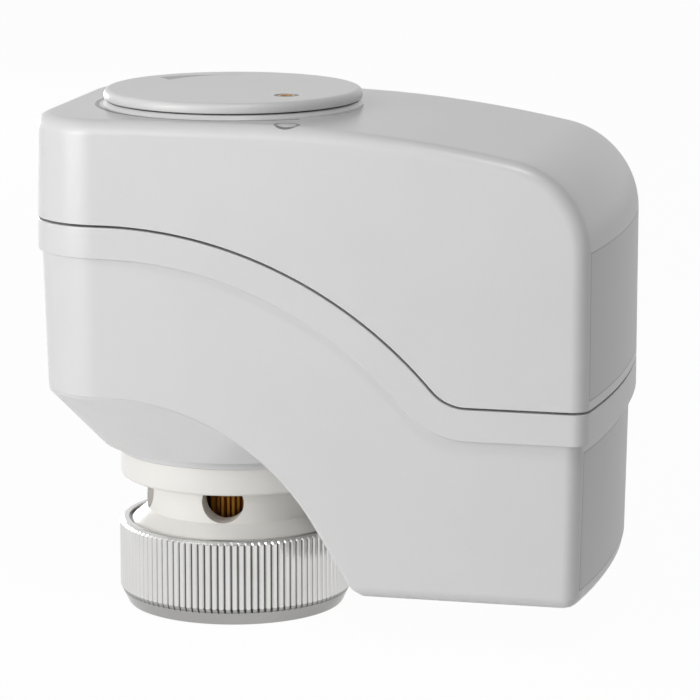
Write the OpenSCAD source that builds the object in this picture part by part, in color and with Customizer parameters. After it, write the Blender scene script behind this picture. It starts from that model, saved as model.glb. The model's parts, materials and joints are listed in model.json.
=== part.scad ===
/* [Housing] */
// Width of the housing across its two flat sides
housing_w = 50; // [48:1:56]
// Distance from the valve axis to the round left end
left_end = 27.5; // [27:0.5:32]
// Distance from the valve axis to the corners of the right end
right_end = 60.5; // [59.5:0.5:70]
// Bulge of the right end face at its middle
end_crown = 1.7; // [0.5:0.1:3]
// Radius of the two upright corners at the left end
left_corner_r = 12; // [9:0.5:13]
// Radius of the two upright corners at the right end
right_corner_r = 2.5; // [1:0.5:4]
// Height of the flat top over the lower face of the nut
top_z = 79.85; // [78.85:0.5:90]
// Rounding of the edge round the top
top_edge_r = 2; // [1:0.25:3]
// Distance from the valve axis to where the top starts to fall
top_flat_end = 8; // [4:1:14]
// Radius of the gentle fall of the top
top_arc_r = 205; // [180:5:260]
// Radius of the top corner over the right end
end_corner_r = 14; // [10:0.5:16]
// Wall thickness of both shells
wall = 2.2; // [1.8:0.1:2.4]

/* [Parting line] */
// Height of the parting line at the left end
part_left_z = 63.84; // [62.5:0.5:66]
// Height of the parting line at the right end
part_right_z = 38.3; // [36:0.5:39]
// Radius of the arched stretch of the parting line
part_arc_r = 68.2; // [65:0.5:72]
// Place along the body where the arch starts
part_arc_x = -14; // [-18:0.5:-10]
// Fillet where the arch runs out
part_fillet_r = 7; // [4:0.5:10]
// Height of the raised band under the parting line
band_h = 5.2; // [4:0.2:7]
// Step from the band to the wall under it
band_step = 0.5; // [0.3:0.1:0.8]
// Height of the shadow groove in the parting line
groove_h = 0.3; // [0.2:0.05:0.5]
// Height of the tongue that locates the cover
tongue_h = 2; // [1:0.25:3]

/* [Valve bay] */
// Underside of the head at its left end
head_floor_z = 36.4; // [35:0.2:38]
// Radius of the arch over the valve
bay_r = 37.2; // [36:0.2:39]
// Place along the body where that arch starts
bay_x = -13.5; // [-15:0.5:-12]
// Slope of the motor box wall beside the valve, degrees
bay_slope = 59; // [57:0.5:62]
// Underside of the motor box
box_floor_z = 7.3; // [6:0.2:9]
// Rounding of the motor box along its lower edge
box_edge_r = 1.6; // [0.8:0.2:2.4]
// Draft of the lower walls, degrees
draft = 1; // [0.5:0.1:1.2]
// Extra lean of the left end at the head's underside
end_lean = 0.7; // [0.2:0.1:1.2]

/* [Valve neck] */
// Radius of the collar under the head
collar_r = 18.2; // [17.6:0.1:18.6]
// Upper face of the collar
collar_top_z = 25.1; // [24.6:0.1:25.4]
// Height of the collar
collar_h = 4.3; // [3.8:0.1:4.5]
// Radius of the neck
neck_r = 14.1; // [13.7:0.1:14.4]
// Radius of the flange inside the nut
flange_r = 16.7; // [16.4:0.05:16.75]
// Height of that flange
flange_h = 3.3; // [2.6:0.1:3.6]
// Bore in which the pusher slides
neck_bore_r = 10; // [9.8:0.1:10.4]
// Radius of the spigot that goes up into the head
spigot_r = 12; // [11.8:0.1:13]
// Number of side holes in the neck
neck_holes = 5; // [4:1:6]
// Diameter of a side hole
neck_hole_d = 6.6; // [5.4:0.2:7]
// Centre height of the side holes
neck_hole_z = 18.8; // [18.2:0.1:19]

/* [Union nut] */
// Crest radius of the knurl
knurl_r = 18.5; // [18.4:0.05:19]
// Depth of the knurl
knurl_depth = 0.4; // [0.2:0.05:0.4]
// Number of ribs round the nut
knurl_ribs = 108; // [80:4:120]
// Height of the nut
nut_h = 13.7; // [13.3:0.1:14.2]
// Height of the chamfer at the lower end
nut_chamfer_h = 2.8; // [1.6:0.2:3.2]
// Radius of the nut's lower face
nut_foot_r = 17.15; // [16.9:0.05:17.8]
// Radius of the thread's crests, plain here
thread_r = 14.19; // [13.5:0.05:14.3]
// Shoulder under the neck's flange
nut_shoulder_z = 8; // [7.4:0.1:8.2]
// Thickness of the snap ring
ring_h = 1; // [0.8:0.1:1.2]

/* [Dial] */
// Radius of the position dial
dial_r = 20.25; // [19:0.25:21]
// Thickness of the dial
dial_h = 1.6; // [1.5:0.1:2.2]
// Height of the dial's underside over the top
dial_gap = 0.9; // [0.8:0.1:1.2]
// Rounding of the dial's upper edge
dial_edge_r = 0.9; // [0.6:0.1:1.2]
// Radius of the dial's stem
stem_r = 5; // [4.4:0.1:5.4]
// Distance of the key socket from the dial's axis
socket_pcd_r = 13.3; // [12.5:0.2:15.5]
// Direction of the key socket from the axis, degrees
socket_angle = -37; // [-90:1:0]
// Radius of the key socket
socket_r = 1.9; // [1.5:0.1:2.2]
// Key size across the flats
socket_key = 2; // [1.5:0.1:2.2]

/* [Drive] */
// Stroke of the pusher
stroke = 2.5; // [2:0.1:3]
// Module of the output wheel's teeth
wheel_module = 0.7; // [0.68:0.01:0.71]
// Teeth of the output wheel
wheel_teeth = 54; // [53:1:55]
// Module of the idler gears' teeth
idler_module = 0.5; // [0.48:0.01:0.51]
// Teeth of an idler's large gear
idler_teeth = 36; // [34:1:37]
// Teeth of every pinion
pinion_teeth = 12; // [12:1:13]
// Radius of the idler pins
axle_r = 0.75; // [0.6:0.05:0.8]
// Radius of the lead screw
spindle_r = 3; // [2.6:0.1:3.2]
// Radius of the pusher's ribs
pusher_r = 9.6; // [9.3:0.1:9.65]
// Ribs round the pusher
pusher_ribs = 36; // [24:2:44]
// Radius of the motor can
motor_r = 12; // [11:0.25:12.2]
// Height of the motor can
motor_h = 22.8; // [18:0.2:24]
// Thickness of the two gear plates
plate_t = 1.5; // [1.2:0.1:1.6]
// Clear height between the two gear plates
plate_gap = 18.5; // [18.5:0.1:19]
// Distance from the motor axis to its two screws
ear_pcd_r = 13.8; // [13.4:0.1:14.2]

/* [Board and cable] */
// Thickness of the circuit board
board_t = 1.6; // [1:0.2:2]
// Height of the board over the upper gear plate
board_lift = 3.5; // [3:0.1:4]
// Radius of the cable inlet
inlet_r = 3.3; // [2.6:0.1:3.8]
// Place of the cable inlet along the body
inlet_x = 36; // [35:0.5:40]
// Distance of the cable inlet from the back of the housing
inlet_in = 11.4; // [10.6:0.2:12.4]

/* [Hidden] */
$fn = 64;

housing_grey = [0.83, 0.83, 0.83];
dial_grey = [0.86, 0.86, 0.85];
ivory = [0.93, 0.90, 0.82];
nickel = [0.80, 0.80, 0.79];
brass = [0.80, 0.64, 0.34];
steel = [0.62, 0.63, 0.65];
gear_white = [0.92, 0.92, 0.90];
board_green = [0.16, 0.42, 0.26];
black = [0.12, 0.12, 0.13];
copper = [0.72, 0.43, 0.24];

far = 200;
run_fit = 0.05;
seat_fit = 0.02;
overlap = 0.01;
clear = 0.3;
half_w = housing_w / 2;
inlet_y = half_w - inlet_in;
inlet_wall = 1.7;
crown_x = right_end + end_crown;
crown_r = (half_w * half_w + end_crown * end_crown) / (2 * end_crown);
part_arc_z = part_left_z - part_arc_r;
bay_z = head_floor_z - bay_r;

// Top corner over the right end, tangent to the end and to the fall of the top
top_arc_z = top_z - top_arc_r;
end_corner_x = right_end - end_corner_r;
end_corner_span = top_arc_r - end_corner_r;
end_corner_z = top_arc_z + sqrt(pow(end_corner_span, 2) - pow(end_corner_x - top_flat_end, 2));
top_fall = asin((end_corner_x - top_flat_end) / end_corner_span);

// Stack of the gearbox over the neck
base_z = head_floor_z + 3.6;
base_top = base_z + plate_t;
plate_top_z = base_top + plate_gap;
plate_top = plate_top_z + plate_t;
washer_h = 1;
wheel_foot = base_top + washer_h + run_fit;
wheel_z = wheel_foot + 3.4;
wheel_face = 6;
hub_r = 8;
bush_r = hub_r + 0.5;
washer_r = hub_r + 2;
journal_r = 6.5;
journal_z = plate_top_z - clear;
hub_top = plate_top + 4.5;
hex_r = 3.4;
spindle_top = journal_z + clear;
well_top = spindle_top + 0.8;
lead_nut_r = spindle_r + 1.6;
lead_nut_h = well_top - wheel_foot - 3.5;

// Gear train in plan, from the output wheel to the motor
wheel_span = wheel_module * (wheel_teeth + pinion_teeth) / 2;
idler_span = idler_module * (idler_teeth + pinion_teeth) / 2;
lay = [20, -45, 50, -60];
function step(a, d) = [d * cos(a), d * sin(a)];
idler_3 = step(lay[0], wheel_span);
idler_2 = idler_3 + step(lay[1], idler_span);
idler_1 = idler_2 + step(lay[2], idler_span);
motor = idler_1 + step(lay[3], idler_span);
mesh_turn = 180 + 180 / pinion_teeth;
gear_face = 2;
pinion_face = gear_face + 0.6;
level_1 = base_top + 2;
level_3 = wheel_z + wheel_face + 1.2;
level_4 = level_3 + gear_face + 1.2;
thin_hub_r = axle_r + 0.9;
end_play = 0.2;

// Screws and posts
screw_r = 1.45;
screw_head_r = 2.8;
well_r = 3.2;
pillar_r = well_r + 1.2;
pin_left = [8 - left_end, half_w - 8.5];
pin_r = 1.6;
pin_h = 6;
screw_right = [right_end - 6.4, half_w - 6.5];
right_seat_z = part_right_z - 8;
boss_r = 3;
boss_at = [[4, half_w - 7.5], [4, 7.5 - half_w], [24, half_w - 7.5], [26, 7.5 - half_w]];
post_r = 2;
stud_r = 1.2;
post_left = wheel_module * wheel_teeth / 2 - 4.9;
post_at = [[post_left, half_w - 6.7], [post_left, 6.7 - half_w],
    [right_end - 14.4, half_w - 7.4], [right_end - 14.4, 7.4 - half_w]];
ear_angle = 60;
ear_at = [motor + step(ear_angle, ear_pcd_r), motor - step(ear_angle, ear_pcd_r)];
board_z = plate_top + board_lift;
board_top = board_z + board_t;
board_room = top_z - wall - board_top;

module along_y(width = far) {
    rotate([90, 0, 0])
        linear_extrude(height = width, center = true)
            children();
}

// Outline of the housing seen from above, drawn in by an inset
module plan(inset = 0, lean = 0) {
    left = -left_end + inset + lean;
    side = half_w - inset;
    left_r = left_corner_r - inset;
    least_r = 0.4;
    right_r = max(right_corner_r - inset, least_r);
    arc_r = crown_r - inset;
    arc_x = crown_x - crown_r;
    corner_x = arc_x + sqrt(pow(arc_r - right_r, 2) - pow(side - right_r, 2));
    translate([left, left_r - side])
        square([left_r, 2 * (side - left_r)]);
    translate([left + left_r, -side])
        square([corner_x - left - left_r, 2 * side]);
    intersection() {
        translate([arc_x, 0])
            circle(arc_r, $fn = 720);
        translate([left + left_r, right_r - side])
            square([far, 2 * (side - right_r)]);
    }
    for (s = [-1, 1]) {
        translate([left + left_r, s * (side - left_r)])
            circle(left_r);
        translate([corner_x, s * (side - right_r)])
            circle(right_r);
    }
}

// Everything under the parting line in side view, lowered by drop
module below_parting(drop = 0) {
    line_z = part_right_z - drop;
    arc_r = part_arc_r - drop;
    fillet_z = part_right_z + part_fillet_r;
    fillet_x = part_arc_x + sqrt(pow(part_arc_r + part_fillet_r, 2) - pow(fillet_z - part_arc_z, 2));
    toward = [fillet_x - part_arc_x, fillet_z - part_arc_z] / (part_arc_r + part_fillet_r);
    inside = [part_arc_x, part_arc_z] + (arc_r - 1) * toward;
    translate([-far, -far])
        square([far + part_arc_x, far + part_left_z - drop]);
    translate([part_arc_x, part_arc_z])
        circle(arc_r, $fn = 360);
    translate([0, -far])
        square([far, far + line_z]);
    difference() {
        polygon([inside, [fillet_x, fillet_z], [fillet_x, line_z - 2], [inside[0] - 4, line_z - 2]]);
        translate([fillet_x, fillet_z])
            circle(part_fillet_r + drop + overlap);
    }
}

// Space for the valve under the head in side view, grown by a margin
module bay(grow = 0) {
    r = bay_r + grow;
    centre = [bay_x, bay_z];
    touch = centre + r * [sin(bay_slope), cos(bay_slope)];
    foot = touch + far * [cos(bay_slope), -sin(bay_slope)];
    translate([-far, -far])
        square([far + bay_x, far + head_floor_z + grow]);
    intersection() {
        translate(centre)
            circle(r, $fn = 180);
        translate([bay_x, -far])
            square([far, 2 * far]);
    }
    polygon([centre, touch, foot, [bay_x, foot[1]]]);
    if (grow == 0)
        bay_corner(touch);
}

// Rounded corner between the motor box wall beside the valve and its underside
module bay_corner(touch) {
    corner = touch + (touch[1] - box_floor_z) * [1 / tan(bay_slope), -1];
    reach = box_edge_r * tan(bay_slope / 2);
    centre = corner + [reach, box_edge_r];
    difference() {
        polygon([corner, corner + reach * [-cos(bay_slope), sin(bay_slope)], centre, corner + [reach, 0]]);
        translate(centre)
            circle(box_edge_r);
    }
}

// Upper body with its rounded top, one convex form drawn in by an inset
inner_edge_r = 0.6;

module crown_form(inset = 0) {
    edge = max(top_edge_r - inset, inner_edge_r);
    in = inset + edge;
    side = half_w - in;
    corner = left_corner_r - in;
    hull() {
        translate([0, 0, part_right_z - band_h])
            linear_extrude(end_corner_z - part_right_z + band_h)
                plan(inset);
        for (s = [-1, 1], a = [0 : 15 : 90])
            translate([left_corner_r - left_end - corner * cos(a),
                s * (half_w - left_corner_r + corner * sin(a)), top_z - in])
                sphere(edge, $fn = 24);
        for (s = [-1, 1], k = [0 : 4])
            translate([top_flat_end + (top_arc_r - in) * sin(top_fall * k / 4), s * side,
                top_arc_z + (top_arc_r - in) * cos(top_fall * k / 4)])
                sphere(edge, $fn = 24);
        for (k = [0 : 7], t = [-1 : 0.5 : 1]) {
            a = (90 - top_fall) * k / 7;
            bulge = end_crown * (1 - t * t) * cos(a);
            translate([end_corner_x + (end_corner_r - in) * cos(a) + bulge, t * side,
                end_corner_z + (end_corner_r - in) * sin(a)])
                sphere(edge, $fn = abs(t) == 1 ? 24 : 16);
        }
    }
}

// Drafted lower body with a rounded lower edge, drawn in by an inset
module tub_form(inset = 0, floor_z = box_floor_z, edge = box_edge_r) {
    hull() {
        for (a = [0 : 30 : 90]) {
            z = floor_z + edge * (1 - sin(a));
            slope = (part_left_z - z) * tan(draft);
            translate([0, 0, z])
                linear_extrude(overlap)
                    plan(inset + slope + edge * (1 - cos(a)), end_lean);
        }
        translate([0, 0, part_left_z])
            linear_extrude(tongue_h)
                plan(inset);
    }
}

// Funnel from the head's outline down to the collar, with a lip round the collar
funnel_step = 0.1;
lip_h = 1.6;
lip_r = collar_r + 3;

module funnel(inset = 0) {
    slope = (part_left_z - head_floor_z) * tan(draft);
    hull() {
        translate([0, 0, head_floor_z])
            linear_extrude(wall)
                intersection() {
                    plan(band_step + slope + funnel_step + inset, end_lean);
                    translate([-far, -far])
                        square([far + neck_bore_r, 2 * far]);
                }
        translate([0, 0, collar_top_z + lip_h])
            cylinder(r = lip_r - inset, h = overlap, $fn = 48);
        translate([0, 0, collar_top_z])
            cylinder(r = collar_r + 0.4 - inset, h = overlap, $fn = 48);
    }
}

module screw_places(at, low, high, r) {
    for (s = [-1, 1])
        translate([at[0], s * at[1], low])
            cylinder(r = r, h = high - low);
}

module lower_housing() {
    cavity_floor = box_floor_z + wall;
    ring_in = wall + 0.15;
    ring_t = 1.2;
    band_lap = 0.5;
    color(housing_grey)
        difference() {
            union() {
                difference() {
                    union() {
                        intersection() {
                            tub_form(band_step);
                            along_y()
                                below_parting(band_h - band_lap);
                        }
                        intersection() {
                            linear_extrude(top_z)
                                plan();
                            along_y()
                                difference() {
                                    below_parting(groove_h);
                                    below_parting(band_h);
                                }
                        }
                        intersection() {
                            linear_extrude(top_z)
                                plan(band_step);
                            along_y()
                                difference() {
                                    below_parting();
                                    below_parting(band_h);
                                }
                        }
                    }
                    along_y()
                        bay();
                    intersection() {
                        tub_form(band_step + wall, cavity_floor, inner_edge_r);
                        along_y()
                            difference() {
                                translate([-far, 0])
                                    square([2 * far, far]);
                                bay(wall);
                            }
                    }
                }
                intersection() {
                    difference() {
                        linear_extrude(top_z)
                            plan(ring_in);
                        linear_extrude(top_z)
                            plan(ring_in + ring_t);
                        screw_places(screw_right, part_right_z, top_z, pillar_r + clear);
                        screw_places(pin_left, part_left_z, top_z, pillar_r + clear);
                    }
                    along_y()
                        difference() {
                            below_parting(-tongue_h);
                            below_parting(band_h - 1);
                        }
                }
                funnel();
                screw_places(pin_left, head_floor_z, part_left_z, pillar_r);
                screw_places(screw_right, box_floor_z + 1, part_right_z, pillar_r);
                difference() {
                    union() {
                        translate([0, 0, collar_top_z - collar_h - wall])
                            cylinder(r = collar_r + clear + wall, h = collar_h + 2 * wall);
                        for (p = boss_at)
                            translate([p[0], p[1], box_floor_z + wall / 2])
                                cylinder(r = boss_r, h = base_z - box_floor_z - wall / 2);
                    }
                    along_y()
                        bay(wall / 2);
                }
            }
            translate([0, 0, -1])
                cylinder(r = spigot_r + seat_fit, h = far);
            translate([0, 0, -1])
                cylinder(r = collar_r + clear, h = collar_top_z + 1);
            screw_places(pin_left, part_left_z - pin_h - 1, top_z, pin_r + run_fit);
            screw_places(screw_right, 0, right_seat_z, well_r);
            screw_places(screw_right, 0, top_z, screw_r + run_fit);
            for (p = boss_at)
                translate([p[0], p[1], base_z - 6])
                    cylinder(r = stud_r + run_fit, h = 8);
            translate([inlet_x, inlet_y, 0])
                cylinder(r = inlet_r + inlet_wall + seat_fit, h = cavity_floor + 1);
        }
}

module upper_cover() {
    plinth_r = dial_r - 0.35;
    plinth_gap = 0.25;
    color(housing_grey)
        difference() {
            union() {
                intersection() {
                    difference() {
                        crown_form();
                        crown_form(wall);
                    }
                    along_y()
                        difference() {
                            translate([-far, 0])
                                square([2 * far, far]);
                            below_parting();
                        }
                }
                screw_places(pin_left, part_left_z, top_z - wall / 2, pillar_r);
                screw_places(pin_left, part_left_z - pin_h, part_left_z + 1, pin_r);
                screw_places(screw_right, part_right_z, end_corner_z, pillar_r);
                translate([0, 0, top_z - wall])
                    cylinder(r = plinth_r, h = wall + dial_gap - plinth_gap);
            }
            translate([0, 0, top_z - far / 2])
                cylinder(r = stem_r + clear, h = far);
            screw_places(screw_right, 0, part_right_z + 10, screw_r + run_fit);
        }
}

// Flange of the neck and the snap ring that holds the nut on it
flange_z = nut_shoulder_z + 0.2;
flange_top = flange_z + flange_h;
ring_z = flange_top + 0.15;
groove_r = flange_r + 0.75;
ring_seat_r = neck_r + 1.2;
skirt_z = ring_z + ring_h + 0.2;
skirt_r = flange_r - 0.1;
skirt_edge = 0.45;
skirt_h = 2.6;

module valve_neck() {
    collar_z = collar_top_z - collar_h;
    collar_edge = 0.6;
    hole_reach = 1.2;
    hole_turn = -83.5;
    color(ivory) {
        difference() {
            rotate_extrude()
                difference() {
                    union() {
                        translate([0, flange_z])
                            square([flange_r, flange_h]);
                        polygon([[0, flange_top], [ring_seat_r, flange_top], [ring_seat_r, skirt_z],
                            [skirt_r, skirt_z], [skirt_r, skirt_z + skirt_edge],
                            [neck_r, skirt_z + skirt_h], [0, skirt_z + skirt_h]]);
                        translate([0, flange_top])
                            square([neck_r, collar_z - flange_top]);
                        translate([0, collar_z])
                            square([collar_r - collar_edge, collar_edge]);
                        translate([collar_r - collar_edge, collar_z + collar_edge])
                            circle(collar_edge);
                        translate([0, collar_z + collar_edge])
                            square([collar_r, collar_h - collar_edge]);
                        translate([0, collar_top_z])
                            square([spigot_r, base_z - collar_top_z]);
                    }
                    translate([-far, -far])
                        square([far + neck_bore_r, 2 * far]);
                }
            intersection() {
                for (k = [0 : neck_holes - 1])
                    translate([0, 0, neck_hole_z])
                        rotate([0, 90, 360 * k / neck_holes + hole_turn])
                            cylinder(d = neck_hole_d, h = far);
                cylinder(r = neck_r + hole_reach, h = far);
            }
        }
    }
}

module nut_outline() {
    polygon([for (k = [0 : 2 * knurl_ribs - 1])
        let (a = 180 * k / knurl_ribs, r = k % 2 == 0 ? knurl_r : knurl_r - knurl_depth)
            [r * cos(a), r * sin(a)]]);
}

module union_nut() {
    rim_r = groove_r + 0.35;
    rim_h = 0.7;
    past_r = knurl_r + 0.1;
    bore_r = flange_r + clear;
    color(nickel)
        difference() {
            intersection() {
                linear_extrude(nut_h)
                    nut_outline();
                rotate_extrude()
                    polygon([[0, 0], [nut_foot_r, 0], [past_r, nut_chamfer_h],
                        [past_r, nut_h - rim_h], [rim_r, nut_h], [0, nut_h]]);
            }
            rotate_extrude() {
                translate([0, -1])
                    square([thread_r, nut_h + 2]);
                translate([0, nut_shoulder_z])
                    square([bore_r, nut_h]);
                translate([0, ring_z - run_fit])
                    square([groove_r, ring_h + 2 * run_fit]);
            }
        }
}

module nut_snap_ring() {
    outer = groove_r - seat_fit;
    inner = ring_seat_r + clear;
    split = 3;
    split_turn = 70;
    color(steel)
        translate([0, 0, ring_z])
            difference() {
                cylinder(r = outer, h = ring_h);
                translate([0, 0, -1])
                    cylinder(r = inner, h = ring_h + 2);
                rotate([0, 0, split_turn])
                    translate([0, -split / 2, -1])
                        cube([far, split, ring_h + 2]);
            }
}

dial_z = top_z + dial_gap;
dial_top = dial_z + dial_h;

module position_dial() {
    stem_z = hub_top + 0.2;
    stem_lap = 0.5;
    key_z = well_top + 0.4;
    dimple_r = 30;
    dimple_depth = 0.12;
    dimple_at = [-3.5, 14.4];
    color(dial_grey)
        difference() {
            union() {
                rotate_extrude()
                    union() {
                        translate([0, dial_z])
                            square([dial_r, dial_h - dial_edge_r]);
                        translate([0, dial_z])
                            square([dial_r - dial_edge_r, dial_h]);
                        intersection() {
                            translate([dial_r - dial_edge_r, dial_top - dial_edge_r])
                                circle(dial_edge_r);
                            translate([0, dial_z])
                                square([dial_r, dial_h]);
                        }
                    }
                translate([0, 0, stem_z])
                    cylinder(r = stem_r, h = dial_z + stem_lap - stem_z);
                translate([0, 0, key_z])
                    cylinder(r = hex_r - run_fit, h = hub_top - well_top, $fn = 6);
            }
            translate([step(socket_angle, socket_pcd_r)[0], step(socket_angle, socket_pcd_r)[1], 0])
                cylinder(r = socket_r + seat_fit, h = far);
            translate([dimple_at[0], dimple_at[1], dial_top + dimple_r - dimple_depth])
                sphere(dimple_r, $fn = 96);
        }
}

module crank_socket() {
    socket_drop = 0.3;
    socket_floor = 0.3;
    color(brass)
        translate([step(socket_angle, socket_pcd_r)[0], step(socket_angle, socket_pcd_r)[1], dial_z])
            difference() {
                cylinder(r = socket_r, h = dial_h - socket_drop);
                translate([0, 0, socket_floor])
                    cylinder(d = socket_key / cos(30), h = dial_h, $fn = 6);
            }
}

// Involute gear outline with a little backlash
pressure_angle = 25;
root_depth = 1.1;
tip_height = 0.85;
backlash = 0.05;
function rolled(a) = tan(a) * 180 / PI - a;
function flank(r, base, half) = half - (r > base ? rolled(acos(base / r)) : 0);
function tooth(m, teeth, turn) =
    let (pitch = m * teeth / 2, base = pitch * cos(pressure_angle),
        root = pitch - root_depth * m, tip = pitch + tip_height * m,
        half = 90 / teeth - backlash / pitch * 180 / PI + rolled(pressure_angle),
        low = max(root, base), radii = [root, low, (low + tip) / 2, tip])
    [for (k = [0 : teeth - 1], s = [-1, 1], j = [0 : 3])
        let (r = radii[s < 0 ? j : 3 - j], a = turn + 360 * k / teeth + s * flank(r, base, half))
            [r * cos(a), r * sin(a)]];

module gear(m, teeth, turn, height) {
    linear_extrude(height)
        polygon(tooth(m, teeth, turn));
}

module drive_wheel() {
    rim_in = wheel_module * wheel_teeth / 2 - 3;
    web_in = 1.5;
    color(gear_white)
        difference() {
            union() {
                translate([0, 0, wheel_z])
                    gear(wheel_module, wheel_teeth, lay[0], wheel_face);
                translate([0, 0, wheel_foot])
                    cylinder(r = hub_r, h = journal_z - wheel_foot);
                translate([0, 0, journal_z - 1])
                    cylinder(r = journal_r, h = hub_top - journal_z + 1);
            }
            for (z = [wheel_z - 1, wheel_z + wheel_face - web_in])
                translate([0, 0, z])
                    difference() {
                        cylinder(r = rim_in, h = web_in + 1);
                        translate([0, 0, -1])
                            cylinder(r = hub_r, h = 5);
                    }
            translate([0, 0, wheel_foot - 1])
                cylinder(r = lead_nut_r, h = lead_nut_h + 1);
            translate([0, 0, wheel_foot])
                cylinder(r = spindle_r + 2 * clear, h = well_top - wheel_foot);
            translate([0, 0, well_top - overlap])
                cylinder(r = hex_r, h = far, $fn = 6);
        }
}

module spindle_nut() {
    color(brass)
        translate([0, 0, wheel_foot])
            difference() {
                cylinder(r = lead_nut_r - seat_fit, h = lead_nut_h - 2 * run_fit);
                translate([0, 0, -1])
                    cylinder(r = spindle_r + run_fit, h = far);
            }
}

pusher_tip_z = nut_shoulder_z + stroke + 0.7;
pusher_tip_r = 6;
pusher_rib = 0.6;
cross_pin_r = 1;
spindle_foot = 6;
pusher_top = base_z - 2;
pin_z = pusher_top - 4;

module spindle() {
    foot = pin_z - spindle_foot;
    color(steel)
        difference() {
            translate([0, 0, foot])
                cylinder(r = spindle_r, h = spindle_top - foot);
            translate([0, 0, pin_z])
                rotate([90, 0, 0])
                    cylinder(r = cross_pin_r + seat_fit, h = far, center = true);
        }
}

module pusher() {
    shoulder = pusher_tip_z + 2;
    color(brass)
        difference() {
            union() {
                translate([0, 0, shoulder])
                    linear_extrude(pusher_top - shoulder)
                        polygon([for (k = [0 : 4 * pusher_ribs - 1])
                            let (a = 90 * (k + 0.5) / pusher_ribs,
                                r = k % 4 < 2 ? pusher_r : pusher_r - pusher_rib)
                                [r * cos(a), r * sin(a)]]);
                translate([0, 0, pusher_tip_z])
                    cylinder(r = pusher_tip_r, h = 3);
            }
            translate([0, 0, pin_z - spindle_foot])
                cylinder(r = spindle_r + seat_fit, h = far);
            translate([0, 0, pin_z])
                rotate([90, 0, 0])
                    cylinder(r = cross_pin_r + seat_fit, h = far, center = true);
        }
}

module spindle_pin() {
    color(steel)
        translate([0, 0, pin_z])
            rotate([90, 0, 0])
                cylinder(r = cross_pin_r, h = 2 * (pusher_r - 1), center = true);
}

// Outline that both gear plates share, with clearances for the cover's pillars
plate_in = 4.6;
pillar_room = pillar_r + 0.5;
top_plate_r = 14;

module plate_outline(left_r) {
    difference() {
        union() {
            circle(left_r);
            translate([0, plate_in - half_w])
                square([right_end - 11.9, housing_w - 2 * plate_in]);
            translate([0, -screw_right[1] + pillar_r + 1])
                square([right_end - 6.6, 2 * (screw_right[1] - pillar_r - 1)]);
        }
        for (s = [-1, 1])
            translate([screw_right[0], s * screw_right[1]])
                circle(pillar_room);
    }
}

module holes(at, r) {
    for (p = at)
        translate([p[0], p[1], -far])
            cylinder(r = r, h = 2 * far);
}

idlers = [idler_1, idler_2, idler_3];

module gear_base_plate() {
    color(steel)
        difference() {
            translate([0, 0, base_z])
                linear_extrude(plate_t)
                    plate_outline(norm(pin_left) - pillar_r - 0.7);
            holes([[0, 0]], spindle_r + 1);
            holes(idlers, axle_r + seat_fit);
            holes([motor], bearing_r + 0.2);
            holes(ear_at, stud_r + run_fit);
            holes(boss_at, stud_r + run_fit);
            holes(post_at, stud_r + seat_fit);
        }
}

module gear_top_plate() {
    color(steel)
        difference() {
            translate([0, 0, plate_top_z])
                linear_extrude(plate_t)
                    plate_outline(top_plate_r);
            holes([[0, 0]], bush_r + seat_fit);
            holes(idlers, axle_r + seat_fit);
            holes(post_at, stud_r + seat_fit);
        }
}

module plate_posts() {
    color(steel)
        for (p = post_at)
            translate([p[0], p[1], 0]) {
                translate([0, 0, base_top])
                    cylinder(r = post_r, h = plate_gap);
                translate([0, 0, base_z])
                    cylinder(r = stud_r, h = board_top + 2 - base_z);
            }
}

module idler_axles() {
    color(steel)
        for (p = idlers)
            translate([p[0], p[1], base_z])
                cylinder(r = axle_r, h = plate_top - base_z);
}

// Compound idler: large gear and pinion on one hub that runs on a pin
module idler(at, gear_z, gear_turn, pinion_z, pinion_m, pinion_turn, pinion_h) {
    color(gear_white)
        difference() {
            translate([at[0], at[1], 0]) {
                translate([0, 0, base_top + end_play])
                    cylinder(r = thin_hub_r, h = plate_gap - 2 * end_play);
                translate([0, 0, gear_z])
                    gear(idler_module, idler_teeth, gear_turn, gear_face);
                translate([0, 0, pinion_z])
                    gear(pinion_m, pinion_teeth, pinion_turn, pinion_h);
            }
            holes([at], axle_r + run_fit);
        }
}

module idler_gear_1() {
    idler(idler_1, level_1, lay[3], level_4 - clear, idler_module, lay[2] + mesh_turn, pinion_face);
}

module idler_gear_2() {
    idler(idler_2, level_4, lay[2], level_3 - clear, idler_module, lay[1] + mesh_turn, pinion_face);
}

module idler_gear_3() {
    idler(idler_3, level_3, lay[1], wheel_z - 0.4, wheel_module, lay[0] + mesh_turn, wheel_face + 0.8);
}

module wheel_bush() {
    color(brass)
        difference() {
            union() {
                translate([0, 0, plate_top_z])
                    cylinder(r = bush_r, h = plate_t);
                translate([0, 0, plate_top])
                    cylinder(r = washer_r, h = 1);
            }
            cylinder(r = journal_r + run_fit, h = far);
        }
}

module thrust_washer() {
    color(steel)
        translate([0, 0, base_top])
            difference() {
                cylinder(r = washer_r, h = washer_h);
                translate([0, 0, -1])
                    cylinder(r = spindle_r + 1, h = 3);
            }
}

flange_t = 1.2;
can_wall = 0.8;
coil_in = 4.4;
rotor_in = 4.8;
rotor_lift = 2.6;
ear_wall = 1.6;
bearing_h = 2.4;
can_top = base_z - flange_t;
can_foot = can_top - motor_h;
bearing_r = 2.5;
shaft_r = 1;

module at_motor(z) {
    translate([motor[0], motor[1], z])
        children();
}

module motor_can() {
    color(steel)
        at_motor(can_foot)
            difference() {
                cylinder(r = motor_r, h = motor_h);
                translate([0, 0, can_wall])
                    cylinder(r = motor_r - can_wall, h = motor_h);
                translate([0, 0, -1])
                    cylinder(r = bearing_r + seat_fit, h = 3);
            }
}

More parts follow.
